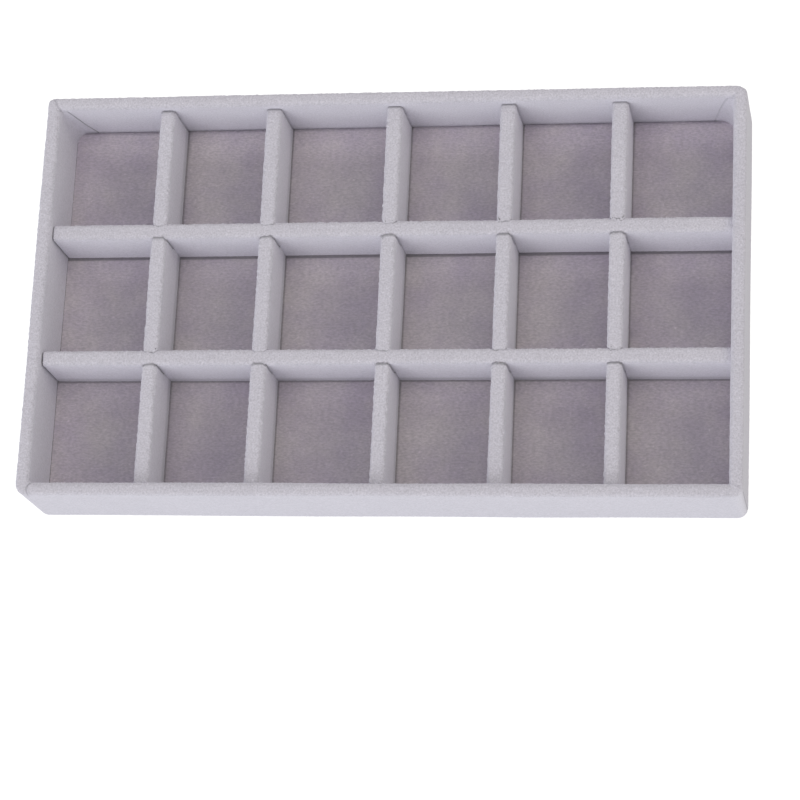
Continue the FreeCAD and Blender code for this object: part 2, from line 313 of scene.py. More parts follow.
def raise_pile(bm, relief, sway, bend_share):
    """Stand the pile up in small clumps, most along bends, and let the strip wander a little."""
    bm.normal_update()
    for vert in bm.verts:
        clump = noise.noise(vert.co / CLUMP)
        clump += FINE_CLUMP_SHARE * noise.noise(vert.co * FINE_CLUMPS / CLUMP)
        wander = noise.noise(vert.co / SWAY_LENGTH)
        facing_up = max(vert.normal.z, 0.0)
        standing = UPRIGHT_SHARE + (1 - UPRIGHT_SHARE) * facing_up + bend_share * hump(facing_up)
        vert.co += vert.normal * (relief * standing * clump + sway * wander)


def fold_drop(distance, radius):
    """How far a rounded edge has dropped at a distance from where it ends."""
    if distance >= radius:
        return 0.0
    return radius - math.sqrt(radius ** 2 - (radius - max(distance, 0.0)) ** 2)


def painted_shade_share(distance, width):
    """Strength of the painted shade at a distance from a cut edge."""
    return clamp(PAINTED_SHADE_GAIN * (1 - distance / width))


def fold_rows(radius):
    """Offsets of the rows of mesh that a rounded edge needs."""
    return [share * radius for share in FOLD_ROW_SHARES]


def add_piece(bm, name, material, body, node, thickness=VELVET):
    """Turn a skin into a sheet of cloth that stands for a solid and rides on its body."""
    for face in bm.faces:
        face.smooth = True
    mesh = bpy.data.meshes.new(name)
    bm.to_mesh(mesh)
    bm.free()
    mesh.materials.append(material)
    piece = bpy.data.objects.new(name, mesh)
    bpy.context.scene.collection.objects.link(piece)
    thicken = piece.modifiers.new("Thickness", "SOLIDIFY")
    thicken.thickness = thickness
    thicken.offset = INWARDS
    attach(piece, body)
    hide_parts(node)
    return piece


class Seam:
    """Line where one strip of velvet stops and its neighbour begins."""

    def __init__(self, start, across, drift, depth_share):
        self.start = start
        self.across = across
        self.drift = drift
        self.depth_share = depth_share

    def distance(self, point):
        """How far a point lies past the seam, on the side wall's side."""
        return (point - self.start).dot(self.across) - self.drift(point)

    def cut(self, bm, faces, offsets):
        """Straighten the seam, cut the faces along it, and let it wander again."""
        for vert in {vert for face in faces for vert in face.verts}:
            vert.co -= self.across * self.drift(vert.co)
        faces = cut_rows(bm, faces, self.start, self.across, offsets)
        for vert in {vert for face in faces for vert in face.verts}:
            vert.co += self.across * self.drift(vert.co)


def rim_seam(corner):
    """Seam over the rim and down the outside, from the inner corner."""
    side, end = SIGNS[corner.side], SIGNS[corner.end]
    angle = math.radians(corner.angle)
    start = Vector((side * (INNER_WIDTH - corner.start * MM), end * INNER_DEPTH, 0))
    along = Vector((side * math.sin(angle), end * math.cos(angle), 0))
    across = Vector((side * math.cos(angle), -end * math.sin(angle), 0))
    reach = WALL / max(math.sin(angle), math.cos(angle))

    def bow(point):
        return corner.bow * MM * hump(clamp((point - start).dot(along) / reach))

    def depth_share(point):
        return corner.outside if point.z < RIM_LEVEL - WALL / 2 else corner.on_rim

    return Seam(start, across, bow, depth_share)


def lining_seam(corner):
    """Seam on the end wall's inside, where the side lining has turned the corner."""
    side = SIGNS[corner.side]
    start = Vector((side * INNER_WIDTH, 0, 0))

    def flap_edge(point):
        share = clamp((RIM_LEVEL - point.z) / (RIM_LEVEL - FLOOR_LEVEL))
        turned = corner.flap_top + (corner.flap_foot - corner.flap_top) * share ** corner.flap_curve
        return -turned * MM

    return Seam(start, ALONG_WIDTH * side, flap_edge, lambda point: corner.on_lining)


def wall_band(sizes):
    """One unbroken band of velvet round the walls: hem, outside, rim and lining."""
    bm = bmesh.new()
    hem, corner = sizes.hem_radius, WALL + sizes.inner_radius
    rim, outer = sizes.rim_radius, sizes.rim_outer_radius
    x, front = corner - HALF_WIDTH, -HALF_DEPTH
    pen = [bm.verts.new((x, front + sizes.hem_shown, HEM_LEVEL))]
    pen = draw(bm, pen, ALONG_DEPTH * (hem - sizes.hem_shown))
    pen = turn(bm, pen, (x, front + hem, HEM_LEVEL + hem), -ALONG_WIDTH, hem)
    pen = draw(bm, pen, UP * (RIM_LEVEL - outer - HEM_LEVEL - hem))
    pen = turn(bm, pen, (x, front + outer, RIM_LEVEL - outer), -ALONG_WIDTH, outer)
    pen = draw(bm, pen, ALONG_DEPTH * (WALL - outer - rim))
    pen = turn(bm, pen, (x, front + WALL - rim, RIM_LEVEL - rim), -ALONG_WIDTH, rim)
    draw(bm, pen, UP * (LINING_FOOT - RIM_LEVEL + rim))
    section = bm.verts[:] + bm.edges[:]
    turn_x, turn_y = HALF_WIDTH - corner, HALF_DEPTH - corner
    sides = (
        (ALONG_WIDTH * 2 * turn_x, (turn_x, -turn_y, 0)),
        (ALONG_DEPTH * 2 * turn_y, (turn_x, turn_y, 0)),
        (ALONG_WIDTH * -2 * turn_x, (-turn_x, turn_y, 0)),
        (ALONG_DEPTH * -2 * turn_y, (-turn_x, -turn_y, 0)),
    )
    for move, centre in sides:
        section = run(bm, section, move)
        section = turn(bm, section, centre, UP, corner, LONG_STEP)
    close_skin(bm)
    return bm


def outline_reach(x, y, side, radius):
    """How far a rounded square corner lies from its inner corner, along a direction."""
    straight = side - radius
    if side * y <= straight * x:
        return side / x
    if side * x <= straight * y:
        return side / y
    spread = straight * (x + y)
    return spread + math.sqrt(spread ** 2 - 2 * straight ** 2 + radius ** 2)


def shape_corners(bm, sizes):
    """Give each upright corner its outside radius, and soften the lining's corners towards the floor."""
    swept = WALL + sizes.inner_radius
    under_rim = RIM_LEVEL - sizes.rim_radius
    for vert in bm.verts:
        side_x, side_y = math.copysign(1, vert.co.x), math.copysign(1, vert.co.y)
        corner = Vector((HALF_WIDTH - swept, HALF_DEPTH - swept))
        out = Vector((abs(vert.co.x), abs(vert.co.y))) - corner
        if out.x > 0 and out.y > 0:
            way = out.normalized()
            out *= outline_reach(way.x, way.y, swept, OUTSIDE_RADII[corner_of(vert.co)]) / swept
            vert.co.xy = (side_x * (corner.x + out.x), side_y * (corner.y + out.y))
        if is_lining(vert.co, sizes):
            share = min((under_rim - vert.co.z) / (under_rim - FLOOR_LEVEL), 1.0)
            radius = sizes.inner_radius + (FOOT_RADII[corner_of(vert.co)] - sizes.inner_radius) * share
            corner = Vector((INNER_WIDTH - radius, INNER_DEPTH - radius))
            out = Vector((abs(vert.co.x), abs(vert.co.y))) - corner
            if out.x > 0 and out.y > 0:
                out = out.normalized() * radius
                vert.co.xy = (side_x * (corner.x + out.x), side_y * (corner.y + out.y))


def draw_in_back(bm):
    """Lean the outside of the back wall in towards its top, most at the right."""
    left, right = BACK_DRAW
    for vert in bm.verts:
        outward = clamp((vert.co.y - INNER_DEPTH) / WALL)
        upward = max(vert.co.z - HEM_LEVEL, 0.0) / (RIM_LEVEL - HEM_LEVEL)
        along = (vert.co.x + HALF_WIDTH) / (2 * HALF_WIDTH)
        vert.co.y -= outward * upward * (left + (right - left) * along)


def is_lining(point, sizes):
    """True for a point of the band that lies below the rim on the walls' inside."""
    inset = min(HALF_WIDTH - abs(point.x), HALF_DEPTH - abs(point.y))
    return inset > WALL / 2 and point.z < RIM_LEVEL - sizes.rim_radius - WELD


def corner_of(point):
    """Corner whose quarter of the tray a point lies in."""
    side = "left" if point.x < 0 else "right"
    end = "front" if point.y < 0 else "back"
    return side, end


def on_back_lining(point):
    """How much a point belongs to the back wall's lining, less and less into its corners."""
    if point.z < LINING_FOOT - WELD:
        return 0.0
    return max(1 - abs(point.y - INNER_DEPTH) / WALL, 0.0)


def push_back_foot(bm):
    """Push the foot of the back wall's lining home against its board."""
    for vert in bm.verts:
        share = clamp(1 - (vert.co.z - FLOOR_LEVEL) / BACK_PUSH_RISE)
        vert.co.y += BACK_PUSH * share * on_back_lining(vert.co)


def back_painted_shade(point):
    """Painted shade along the line where the floor meets the back wall."""
    share = max(1 - abs(point.z - FLOOR_LEVEL - BACK_SHADE_RISE) / BACK_SHADE_HALF, 0.0)
    return BACK_PAINTED_SHADE * share * on_back_lining(point)


def cut_seams(bm, sizes):
    """Cut rows along the seams, and return each corner's two: over the rim and on the lining."""
    seams = {}
    rows = fold_rows(sizes.seam_fold)
    rows += [-row for row in rows if row]
    for corner in CORNERS:
        over, inside = rim_seam(corner), lining_seam(corner)
        seams[corner.side, corner.end] = over, inside
        near, lining = [], []
        for face in bm.faces:
            middle = face.calc_center_median()
            if corner_of(middle) != (corner.side, corner.end):
                continue
            inset_x, inset_y = HALF_WIDTH - abs(middle.x), HALF_DEPTH - abs(middle.y)
            if not is_lining(middle, sizes):
                if max(inset_x, inset_y) < RIM_SEAM_REACH:
                    near.append(face)
            elif max(abs(inside.distance(middle)), inset_y) < LINING_SEAM_REACH:
                lining.append(face)
        over.cut(bm, near, rows)
        inside.cut(bm, lining, rows)
    return seams


def make_wall_velvet(sizes, material):
    """Four strips of velvet, each over one wall, that meet in seams at the corners."""
    bm = wall_band(sizes)
    shape_corners(bm, sizes)
    draw_in_back(bm)
    raise_pile(bm, sizes.pile_relief, sizes.sway, WALL_BEND_SHARE)
    push_back_foot(bm)
    seams = cut_seams(bm, sizes)

    def seam_at(point):
        over, inside = seams[corner_of(point)]
        return inside if is_lining(point, sizes) else over

    strip = bm.faces.layers.int.new("strip")
    names = ("front", "right", "back", "left")
    for face in bm.faces:
        middle = face.calc_center_median()
        side, end = corner_of(middle)
        owner = side if seam_at(middle).distance(middle) > 0 else end
        face[strip] = names.index(owner)
    bm.normal_update()
    # Painted shade along the seams, for the shade in their creases, and along the foot of the back wall
    pressed = bm.verts.layers.float.new(PAINTED_SHADING)
    for vert in bm.verts:
        seam = seam_at(vert.co)
        distance = abs(seam.distance(vert.co))
        depth = seam.depth_share(vert.co)
        vert[pressed] = max(depth * painted_shade_share(distance, SEAM_PAINTED_SHADE), back_painted_shade(vert.co))
        vert.co -= vert.normal * fold_drop(distance, sizes.seam_fold) * depth
    for number, name in enumerate(names):
        part = bm.copy()
        strip = part.faces.layers.int["strip"]
        others = [face for face in part.faces if face[strip] != number]
        bmesh.ops.delete(part, geom=others, context="FACES")
        part.faces.layers.int.remove(strip)
        node = f"{name}_wall_velvet"
        piece = add_piece(part, f"{name}_wall_wrap", material, "tray", node)
    bm.free()


def divider_skin(low, high, along, sizes):
    """Velvet over a divider: up one side, over the crest and down the other."""
    bm = bmesh.new()
    across = UP.cross(along)
    half = abs((high - low).dot(across)) / 2
    crest = sizes.crest_radius
    foot = (low + high) / 2 - along * (high - low).dot(along) / 2
    foot.z = low.z
    near, far = foot - across * half, foot + across * half
    rise = UP * (high.z - low.z - crest)
    pen = [bm.verts.new(near)]
    pen = draw(bm, pen, rise)
    pen = turn(bm, pen, near + rise + across * crest, -along, crest)
    pen = draw(bm, pen, across * (2 * half - 2 * crest))
    pen = turn(bm, pen, far + rise - across * crest, -along, crest)
    draw(bm, pen, -rise)
    run(bm, bm.verts[:] + bm.edges[:], along * (high - low).dot(along))
    close_skin(bm)
    return bm


# A cut edge of a divider's velvet: a point on it, the way in from it, its rounding, the width of
# its band of painted shade, how strong that is, and how far it leans over a crossing crest
Edge = namedtuple("Edge", "start inward fold pressed flat lean", defaults=(1.0, None))


def crest_gap(height, crest):
    """How far a rounded crest has drawn back at a height above the start of its rounding."""
    height = min(max(height, 0.0), crest)
    return crest - math.sqrt(crest ** 2 - height ** 2)


def cut_slots(along, crossers):
    """Start and end of each slot along a divider, and the cut edges that its velvet has there."""
    slots, edges = [], []
    for crosser in crossers:
        front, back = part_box(f"{crosser}_velvet")
        front = front - along * SLOT_GAPS[0]
        back = back + along * SLOT_GAPS[1]
        slots.append((front.dot(along), back.dot(along)))
        edges.append(Edge(front, -along, SLOT_FOLDS[0], SLOT_PAINTED_SHADE[0], lean=SLOT_LEANS[0]))
        edges.append(Edge(back, along, SLOT_FOLDS[1], SLOT_PAINTED_SHADE[1], lean=SLOT_LEANS[1]))
    return slots, edges


def make_divider_velvet(name, along, crossers, slots_above, ends, sizes, material):
    """Velvet folded over one divider, cut away where other dividers cross it."""
    node = f"{name}_velvet"
    low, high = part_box(node)
    bm = divider_skin(low, high, along, sizes)
    raise_pile(bm, sizes.pile_relief, sizes.sway, DIVIDER_BEND_SHARE)
    lap = low.z + (high.z - low.z) * LAP_SHARE
    slots, slot_edges = cut_slots(along, crossers)
    edges = [
        Edge(low, UP, sizes.foot_fold, FEET[name].band, FEET[name].flat),
        Edge(low, along, *ends[0]),
        Edge(high, -along, *ends[1]),
        *slot_edges,
    ]
    for edge in edges:
        near = faces_near(bm, edge.start, edge.inward)
        cut_rows(bm, near, edge.start, edge.inward, fold_rows(edge.fold))
    cut_rows(bm, faces_near(bm, UP * lap, UP), UP * lap, UP, [0.0])

    def at_slot_height(point):
        return point.z > lap - WELD if slots_above else point.z < lap + WELD

    gone = []
    for face in bm.faces:
        middle = face.calc_center_median()
        if at_slot_height(middle) and any(start < middle.dot(along) < end for start, end in slots):
            gone.append(face)
    bmesh.ops.delete(bm, geom=gone, context="FACES")
    bm.normal_update()
    # Painted shade along the foot, the ends and the slots, for the shadow in the gaps there
    pressed = bm.verts.layers.float.new(PAINTED_SHADING)
    reach = 2 * sizes.crest_radius
    for vert in bm.verts:
        drop, lean = 0.0, STILL
        for edge in edges:
            distance = (vert.co - edge.start).dot(edge.inward)
            in_slot = edge.lean is not None
            if distance < -WELD or distance > max(reach, edge.pressed):
                continue
            if in_slot and not at_slot_height(vert.co):
                continue
            drop = max(drop, fold_drop(distance, edge.fold))
            vert[pressed] = max(vert[pressed], edge.flat * painted_shade_share(distance, edge.pressed))
            if in_slot and slots_above:
                gap = crest_gap(vert.co.z - high.z + sizes.crest_radius, sizes.crest_radius)
                lean = edge.inward * -gap * edge.lean * (1 - distance / reach)
        vert.co += lean - vert.normal * drop
    for vert in bm.verts:
        distance = (high - vert.co).dot(along)
        vert.co += along * END_PUSH * max(1 - distance / reach, 0.0)
    piece = add_piece(bm, f"{name}_wrap", material, "divider_grid", node)


def edge_distance(point, low, high, radius):
    """Distance from a point of a level sheet in to its rounded outline."""
    inset_x = min(point.x - low.x, high.x - point.x)
    inset_y = min(point.y - low.y, high.y - point.y)
    if inset_x < radius and inset_y < radius:
        return radius - math.hypot(radius - inset_x, radius - inset_y)
    return min(inset_x, inset_y)


# Steps round a sheet's corners, and the profile that makes them round
SHEET_CORNER_STEPS = 6
ROUND_PROFILE = 0.5


def flat_skin(low, high, level, corner_radius, spacing, fold):
    """Level sheet with round corners, in rows that can round off its edges."""
    bm = bmesh.new()
    middle = (low + high) / 2
    middle.z = level
    size = high - low
    bmesh.ops.create_grid(bm, x_segments=1, y_segments=1, size=1 / 2)
    bmesh.ops.scale(bm, vec=(size.x, size.y, 1), verts=bm.verts)
    bmesh.ops.translate(bm, vec=middle, verts=bm.verts)
    bmesh.ops.bevel(
        bm, geom=bm.verts[:], offset=corner_radius, offset_type="OFFSET", segments=SHEET_CORNER_STEPS,
        profile=ROUND_PROFILE, affect="VERTICES", material=-1)
    for start, end in zip(FOLD_ROW_SHARES, FOLD_ROW_SHARES[1:]):
        inner = max(bm.faces, key=lambda face: face.calc_area())
        bmesh.ops.inset_region(bm, faces=[inner], thickness=(end - start) * fold, use_even_offset=True)
    sheet = [max(bm.faces, key=lambda face: face.calc_area())]
    for axis in (ALONG_WIDTH, ALONG_DEPTH):
        reach = size.dot(axis) / 2
        count = round(reach / spacing)
        rows = [reach * row / count for row in range(1 - count, count)]
        sheet = cut_rows(bm, sheet, middle, axis, rows)
    return bm


# A level sheet: its solid, name, slot and support, the way it faces, its corner radius and mesh, how
# far it swells, and how far it fluffs out past its solid
FlatSheet = namedtuple("FlatSheet", "node name slot rests_on facing corner_radius spacing swell fluff")
FLOOR_SHEET = FlatSheet(
    "floor_velvet", "floor_velvet_sheet", "floor_velvet", "floor_card", UP,
    corner_radius=1.2 * MM, spacing=1.5 * MM, swell=0.06 * MM, fluff=0.6 * MM)
FELT_SHEET = FlatSheet(
    "bottom_cover", "bottom_felt_sheet", "bottom_cover", "base_board", -UP,
    corner_radius=4 * MM, spacing=3 * MM, swell=0.0, fluff=0.0)


def floor_marks():
    """Marks on the floor along the walls and the dividers' feet: painted shade and painted light."""
    marks = list(WALL_MARKS)
    for names, axis in ((LONG_DIVIDERS, ALONG_DEPTH), (CROSS_DIVIDERS, ALONG_WIDTH)):
        for name in names:
            low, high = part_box(f"{name}_velvet")
            foot = FEET[name]
            marks.append(Mark(axis, low.dot(axis), high.dot(axis), foot.reach, foot.mark, foot.lift))
    return marks


def mark_painted_shade(outside, mark):
    """Strength of a mark's painted shade at a distance out from the foot along it."""
    if outside > mark.reach:
        return mark.flat * max(1 - (outside - mark.reach) / MARK_EDGE, 0.0)
    return mark.flat * min(max(1 + (outside + MARK_UNDER) / MARK_FADE, MARK_MIDDLE), 1.0)


def paint_mark_shading(bm, marks):
    """Cut rows along the marks, and give a sheet painted shade along them and painted light beside them.
    """
    for mark in marks:
        if mark.flat:
            rows = [-MARK_UNDER - MARK_FADE, -MARK_UNDER, mark.reach, mark.reach + MARK_EDGE]
            for place, way in ((mark.start, -mark.axis), (mark.end, mark.axis)):
                near = faces_near(bm, mark.axis * place, mark.axis)
                cut_rows(bm, near, mark.axis * place, way, rows)
    pressed = bm.verts.layers.float.new(PAINTED_SHADING)
    for vert in bm.verts:
        flat, lift = 0.0, 0.0
        for mark in marks:
            place = vert.co.dot(mark.axis)
            outside = max(mark.start - place, place - mark.end)
            flat = max(flat, mark_painted_shade(outside, mark))
            lift = max(lift, mark.lift * min(PAINTED_LIGHT_GAIN * (1 - outside / PAINTED_LIGHT_REACH), 1.0))
        # Painted shade along the marks, and painted light beside them, carried below nought
        vert[pressed] = flat or -lift


def lay_flat_sheet(sheet, sizes, material, marks=()):
    """Flat sheet of cloth that stands for one layer of the tray and faces up or down."""
    low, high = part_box(sheet.node)
    fluff = Vector((sheet.fluff, sheet.fluff, 0))
    low, high = low - fluff, high + fluff
    level = high.z if sheet.facing.z > 0 else low.z
    bm = flat_skin(low, high, level, sheet.corner_radius, sheet.spacing, sizes.sheet_fold)
    bmesh.ops.recalc_face_normals(bm, faces=bm.faces)
    if bm.faces[0].normal.dot(sheet.facing) < 0:
        bmesh.ops.reverse_faces(bm, faces=bm.faces)
    paint_mark_shading(bm, marks)
    for vert in bm.verts:
        inset = edge_distance(vert.co, low, high, sheet.corner_radius)
        swell = sheet.swell * noise.noise(vert.co / SWAY_LENGTH)
        vert.co += sheet.facing * (swell - fold_drop(inset, sizes.sheet_fold))
    piece = add_piece(bm, sheet.name, material, "tray", sheet.node, high.z - low.z)


def new_material(name):
    """Material with a plain shader in it, and its node tree and shader."""
    material = bpy.data.materials.new(name)
    material.use_nodes = True
    tree = material.node_tree
    tree.nodes.clear()
    shader = tree.nodes.new("ShaderNodeBsdfPrincipled")
    output = tree.nodes.new("ShaderNodeOutputMaterial")
    tree.links.new(shader.outputs["BSDF"], output.inputs["Surface"])
    return material, tree, shader


# Noise over a surface: its detail and roughness, and the values between which its middle is stretched
Grain = namedtuple("Grain", "detail roughness low high")
PATCH_GRAIN = Grain(4.0, 0.6, 0.35, 0.65)
FLECK_GRAIN = Grain(2.0, 0.6, 0.3, 0.7)
LINT_GRAIN = Grain(1.0, 0.5, 0.66, 0.76)

# How many patches of lint go to a fleck's length
LINT_SCALE_SHARE = 0.55

# Surface that all fibres share, and how matt it is
FIBRE_GROUP = "fibre_surface"
FIBRE_ROUGHNESS = 0.95
FIBRE_SPECULAR = 0.1

# Colour of flattened fibres of felt, board and card, as shares of the raised ones' colour
FELT_FLAT_SHARE = 0.85
BOARD_FLAT_SHARE = 0.8
CARD_FLAT_SHARE = 0.9

# Look of a velvet: how deep its flecks are, the weight of its sheen, and how long its flecks are drawn
VelvetLook = namedtuple("VelvetLook", "fleck_depth sheen streak")
WALL_LOOK = VelvetLook(0.26, 1.0, 1.0)
FLOOR_LOOK = VelvetLook(0.19, 0.6, 2.0)
SHEEN_ROUGHNESS = 0.9
SHEEN_TINT = (0.93, 0.92, 1.0, 1)


def add_noise(tree, vector, scale, grain):
    """Noise over object coordinates; scale is a socket, in patches per metre."""
    node = tree.nodes.new("ShaderNodeTexNoise")
    node.inputs["Detail"].default_value = grain.detail
    node.inputs["Roughness"].default_value = grain.roughness
    tree.links.new(vector, node.inputs["Vector"])
    tree.links.new(scale, node.inputs["Scale"])
    return node.outputs["Fac"]


def spread(tree, value, grain, to_low=0.0):
    """Stretch the middle of a noise over a wider range, up to one."""
    node = tree.nodes.new("ShaderNodeMapRange")
    tree.links.new(value, node.inputs["Value"])
    limits = {"From Min": grain.low, "From Max": grain.high, "To Min": to_low, "To Max": 1.0}
    for name, limit in limits.items():
        node.inputs[name].default_value = limit
    return node.outputs["Result"]


def mix_colours(tree, factor, first, second):
    """Blend between two colours; the node's sockets share names, so they go by number."""
    node = tree.nodes.new("ShaderNodeMix")
    node.data_type = "RGBA"
    tree.links.new(factor, node.inputs["Factor"])
    for socket, colour in ((node.inputs[6], first), (node.inputs[7], second)):
        tree.links.new(colour, socket)
    return node.outputs[2]


def times(tree, colour, value):
    """Colour made lighter or darker by a value."""
    node = tree.nodes.new("ShaderNodeVectorMath")
    node.operation = "SCALE"
    tree.links.new(colour, node.inputs[0])
    tree.links.new(value, node.inputs["Scale"])
    return node.outputs["Vector"]


def reckon(tree, operation, *values):
    """Sum, product or product and sum of values, each a socket or a number."""
    node = tree.nodes.new("ShaderNodeMath")
    node.operation = operation
    for socket, value in zip(node.inputs, values):
        if isinstance(value, bpy.types.NodeSocket):
            tree.links.new(value, socket)
        else:
            socket.default_value = value
    return node.outputs["Value"]


def carried(tree, name):
    """Value that the mesh carries, nought where it carries none."""
    node = tree.nodes.new("ShaderNodeAttribute")
    node.attribute_name = name
    return node.outputs["Fac"]


def fibre_group():
    """Fibres of pile, felt, board or paper: patches of two colours, flecks, lint, and the painted shade
    and painted light that the mesh carries.
    """
    group = bpy.data.node_groups.new(FIBRE_GROUP, "ShaderNodeTree")
    for name, kind in (
        ("Raised", "NodeSocketColor"), ("Flattened", "NodeSocketColor"),
        ("Patch Scale", "NodeSocketFloat"), ("Fleck Scale", "NodeSocketFloat"),
        ("Fleck Shape", "NodeSocketVector"), ("Fleck Depth", "NodeSocketFloat"),
        ("Lint", "NodeSocketFloat"),
    ):
        group.interface.new_socket(name, in_out="INPUT", socket_type=kind)
    group.interface.new_socket("Colour", in_out="OUTPUT", socket_type="NodeSocketColor")
    group.interface.new_socket("Height", in_out="OUTPUT", socket_type="NodeSocketFloat")
    given = group.nodes.new("NodeGroupInput").outputs
    result = group.nodes.new("NodeGroupOutput").inputs
    place = group.nodes.new("ShaderNodeTexCoord").outputs["Object"]
    patches = spread(group, add_noise(group, place, given["Patch Scale"], PATCH_GRAIN), PATCH_GRAIN)
    colour = mix_colours(group, patches, given["Flattened"], given["Raised"])
    shaping = group.nodes.new("ShaderNodeVectorMath")
    shaping.operation = "MULTIPLY"
    group.links.new(place, shaping.inputs[0])
    group.links.new(given["Fleck Shape"], shaping.inputs[1])
    flecks = add_noise(group, shaping.outputs["Vector"], given["Fleck Scale"], FLECK_GRAIN)
    flecking = spread(group, flecks, FLECK_GRAIN, to_low=-1.0)
    shade = reckon(group, "MULTIPLY_ADD", flecking, given["Fleck Depth"], 1.0)
    lint_scale = reckon(group, "MULTIPLY", given["Fleck Scale"], LINT_SCALE_SHARE)
    lint = spread(group, add_noise(group, place, lint_scale, LINT_GRAIN), LINT_GRAIN)
    shade = reckon(group, "MULTIPLY_ADD", lint, given["Lint"], shade)
    # Painted shade darkens the colour; painted light, carried below nought, lightens it
    pressed = reckon(group, "MULTIPLY_ADD", carried(group, PAINTED_SHADING), -PAINTED_SHADE_DARK, 1.0)
    shade = reckon(group, "MULTIPLY", shade, pressed)
    group.links.new(times(group, colour, shade), result["Colour"])
    group.links.new(flecks, result["Height"])
    return group


def fibre_material(
        name, raised, flattened, patch_size, fleck_size, fleck_depth, relief, lint=0.0, streak=1.0):
    """Matt fibre surface: two colours in patches, flecks, and a bump as deep as the pile is rough."""
    material, tree, shader = new_material(name)
    group = bpy.data.node_groups.get(FIBRE_GROUP) or fibre_group()
    fibre = tree.nodes.new("ShaderNodeGroup")
    fibre.node_tree = group
    fibre.inputs["Raised"].default_value = (*raised, 1)
    fibre.inputs["Flattened"].default_value = (*flattened, 1)
    fibre.inputs["Patch Scale"].default_value = 1 / patch_size
    fibre.inputs["Fleck Scale"].default_value = 1 / fleck_size
    fibre.inputs["Fleck Shape"].default_value = (1 / streak, 1, 1)
    fibre.inputs["Fleck Depth"].default_value = fleck_depth
    fibre.inputs["Lint"].default_value = lint
    tree.links.new(fibre.outputs["Colour"], shader.inputs["Base Color"])
    bump = tree.nodes.new("ShaderNodeBump")
    bump.inputs["Strength"].default_value = 1.0
    bump.inputs["Distance"].default_value = relief
    tree.links.new(fibre.outputs["Height"], bump.inputs["Height"])
    tree.links.new(bump.outputs["Normal"], shader.inputs["Normal"])
    shader.inputs["Roughness"].default_value = FIBRE_ROUGHNESS
    shader.inputs["Specular IOR Level"].default_value = FIBRE_SPECULAR
    return material, shader


def velvet_material(name, raised, flattened, look):
    """Short velvet: brushed patches, clumped pile and a pale sheen at a slant."""
    material, shader = fibre_material(
        name, raised, flattened, patch_size=16 * MM, fleck_size=0.6 * MM, fleck_depth=look.fleck_depth,
        relief=0.14 * MM, lint=0.2, streak=look.streak)
    shader.inputs["Sheen Weight"].default_value = look.sheen
    shader.inputs["Sheen Roughness"].default_value = SHEEN_ROUGHNESS
    shader.inputs["Sheen Tint"].default_value = SHEEN_TINT
    return material


class JEWELRYTRAY_OT_wall_velvet(bpy.types.Operator):
    """Wrap the four walls in velvet, with seams at the corners"""

    bl_idname = "jewelry_tray.wall_velvet"
    bl_label = "Wall velvet"

    def execute(self, context):
        colours = context.scene.tray_colours
        material = velvet_material(
            "wall_velvet_pile", colours.velvet, colours.velvet_brushed, WALL_LOOK)
        make_wall_velvet(context.scene.tray_sizes, material)
        return {"FINISHED"}


class JEWELRYTRAY_OT_divider_velvet(bpy.types.Operator):
    """Fold velvet over the long and the cross dividers"""

    bl_idname = "jewelry_tray.divider_velvet"
    bl_label = "Divider velvet"

    def execute(self, context):
        colours = context.scene.tray_colours
        sizes = context.scene.tray_sizes
        material = velvet_material(
            "divider_velvet_pile", colours.velvet, colours.velvet_brushed, WALL_LOOK)
        for name in LONG_DIVIDERS:
            make_divider_velvet(name, ALONG_WIDTH, CROSS_DIVIDERS, False, LONG_ENDS, sizes, material)
        for name in CROSS_DIVIDERS:
            make_divider_velvet(name, ALONG_DEPTH, LONG_DIVIDERS, True, CROSS_ENDS, sizes, material)
        return {"FINISHED"}


class JEWELRYTRAY_OT_floor_velvet(bpy.types.Operator):
    """Lay the velvet on the floor card"""

    bl_idname = "jewelry_tray.floor_velvet"
    bl_label = "Floor velvet"

    def execute(self, context):
        colours = context.scene.tray_colours
        sizes = context.scene.tray_sizes
        material = velvet_material(
            "floor_velvet_pile", colours.floor, colours.floor_brushed, FLOOR_LOOK)
        lay_flat_sheet(FLOOR_SHEET, sizes, material, floor_marks())
        return {"FINISHED"}


class JEWELRYTRAY_OT_bottom_cover(bpy.types.Operator):
    """Glue the felt under the base"""

    bl_idname = "jewelry_tray.bottom_cover"
    bl_label = "Bottom cover"

    def execute(self, context):
        felt = Vector(context.scene.tray_colours.felt)
        sizes = context.scene.tray_sizes
        material, _ = fibre_material(
            "bottom_felt", felt, felt * FELT_FLAT_SHARE, patch_size=9 * MM, fleck_size=0.9 * MM,
            fleck_depth=0.14, relief=0.12 * MM)
        lay_flat_sheet(FELT_SHEET, sizes, material)
        return {"FINISHED"}


class JEWELRYTRAY_OT_boards(bpy.types.Operator):
    """Give the boards and the floor card their own surfaces"""

    bl_idname = "jewelry_tray.boards"
    bl_label = "Boards and card"

    def execute(self, context):
        colours = context.scene.tray_colours
        board = Vector(colours.board)
        card = Vector(colours.card)
        board_material, _ = fibre_material(
            "pressed_board", board, board * BOARD_FLAT_SHARE, patch_size=6 * MM, fleck_size=0.7 * MM,
            fleck_depth=0.2, relief=0.06 * MM)
        card_material, _ = fibre_material(
            "grey_card", card, card * CARD_FLAT_SHARE, patch_size=12 * MM, fleck_size=0.5 * MM,
            fleck_depth=0.1, relief=0.03 * MM)
        for name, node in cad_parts.items():
            if name.endswith("_board"):
                node.data.materials.clear()
                node.data.materials.append(board_material)
            elif name == "floor_card":
                node.data.materials.clear()
                node.data.materials.append(card_material)
        return {"FINISHED"}


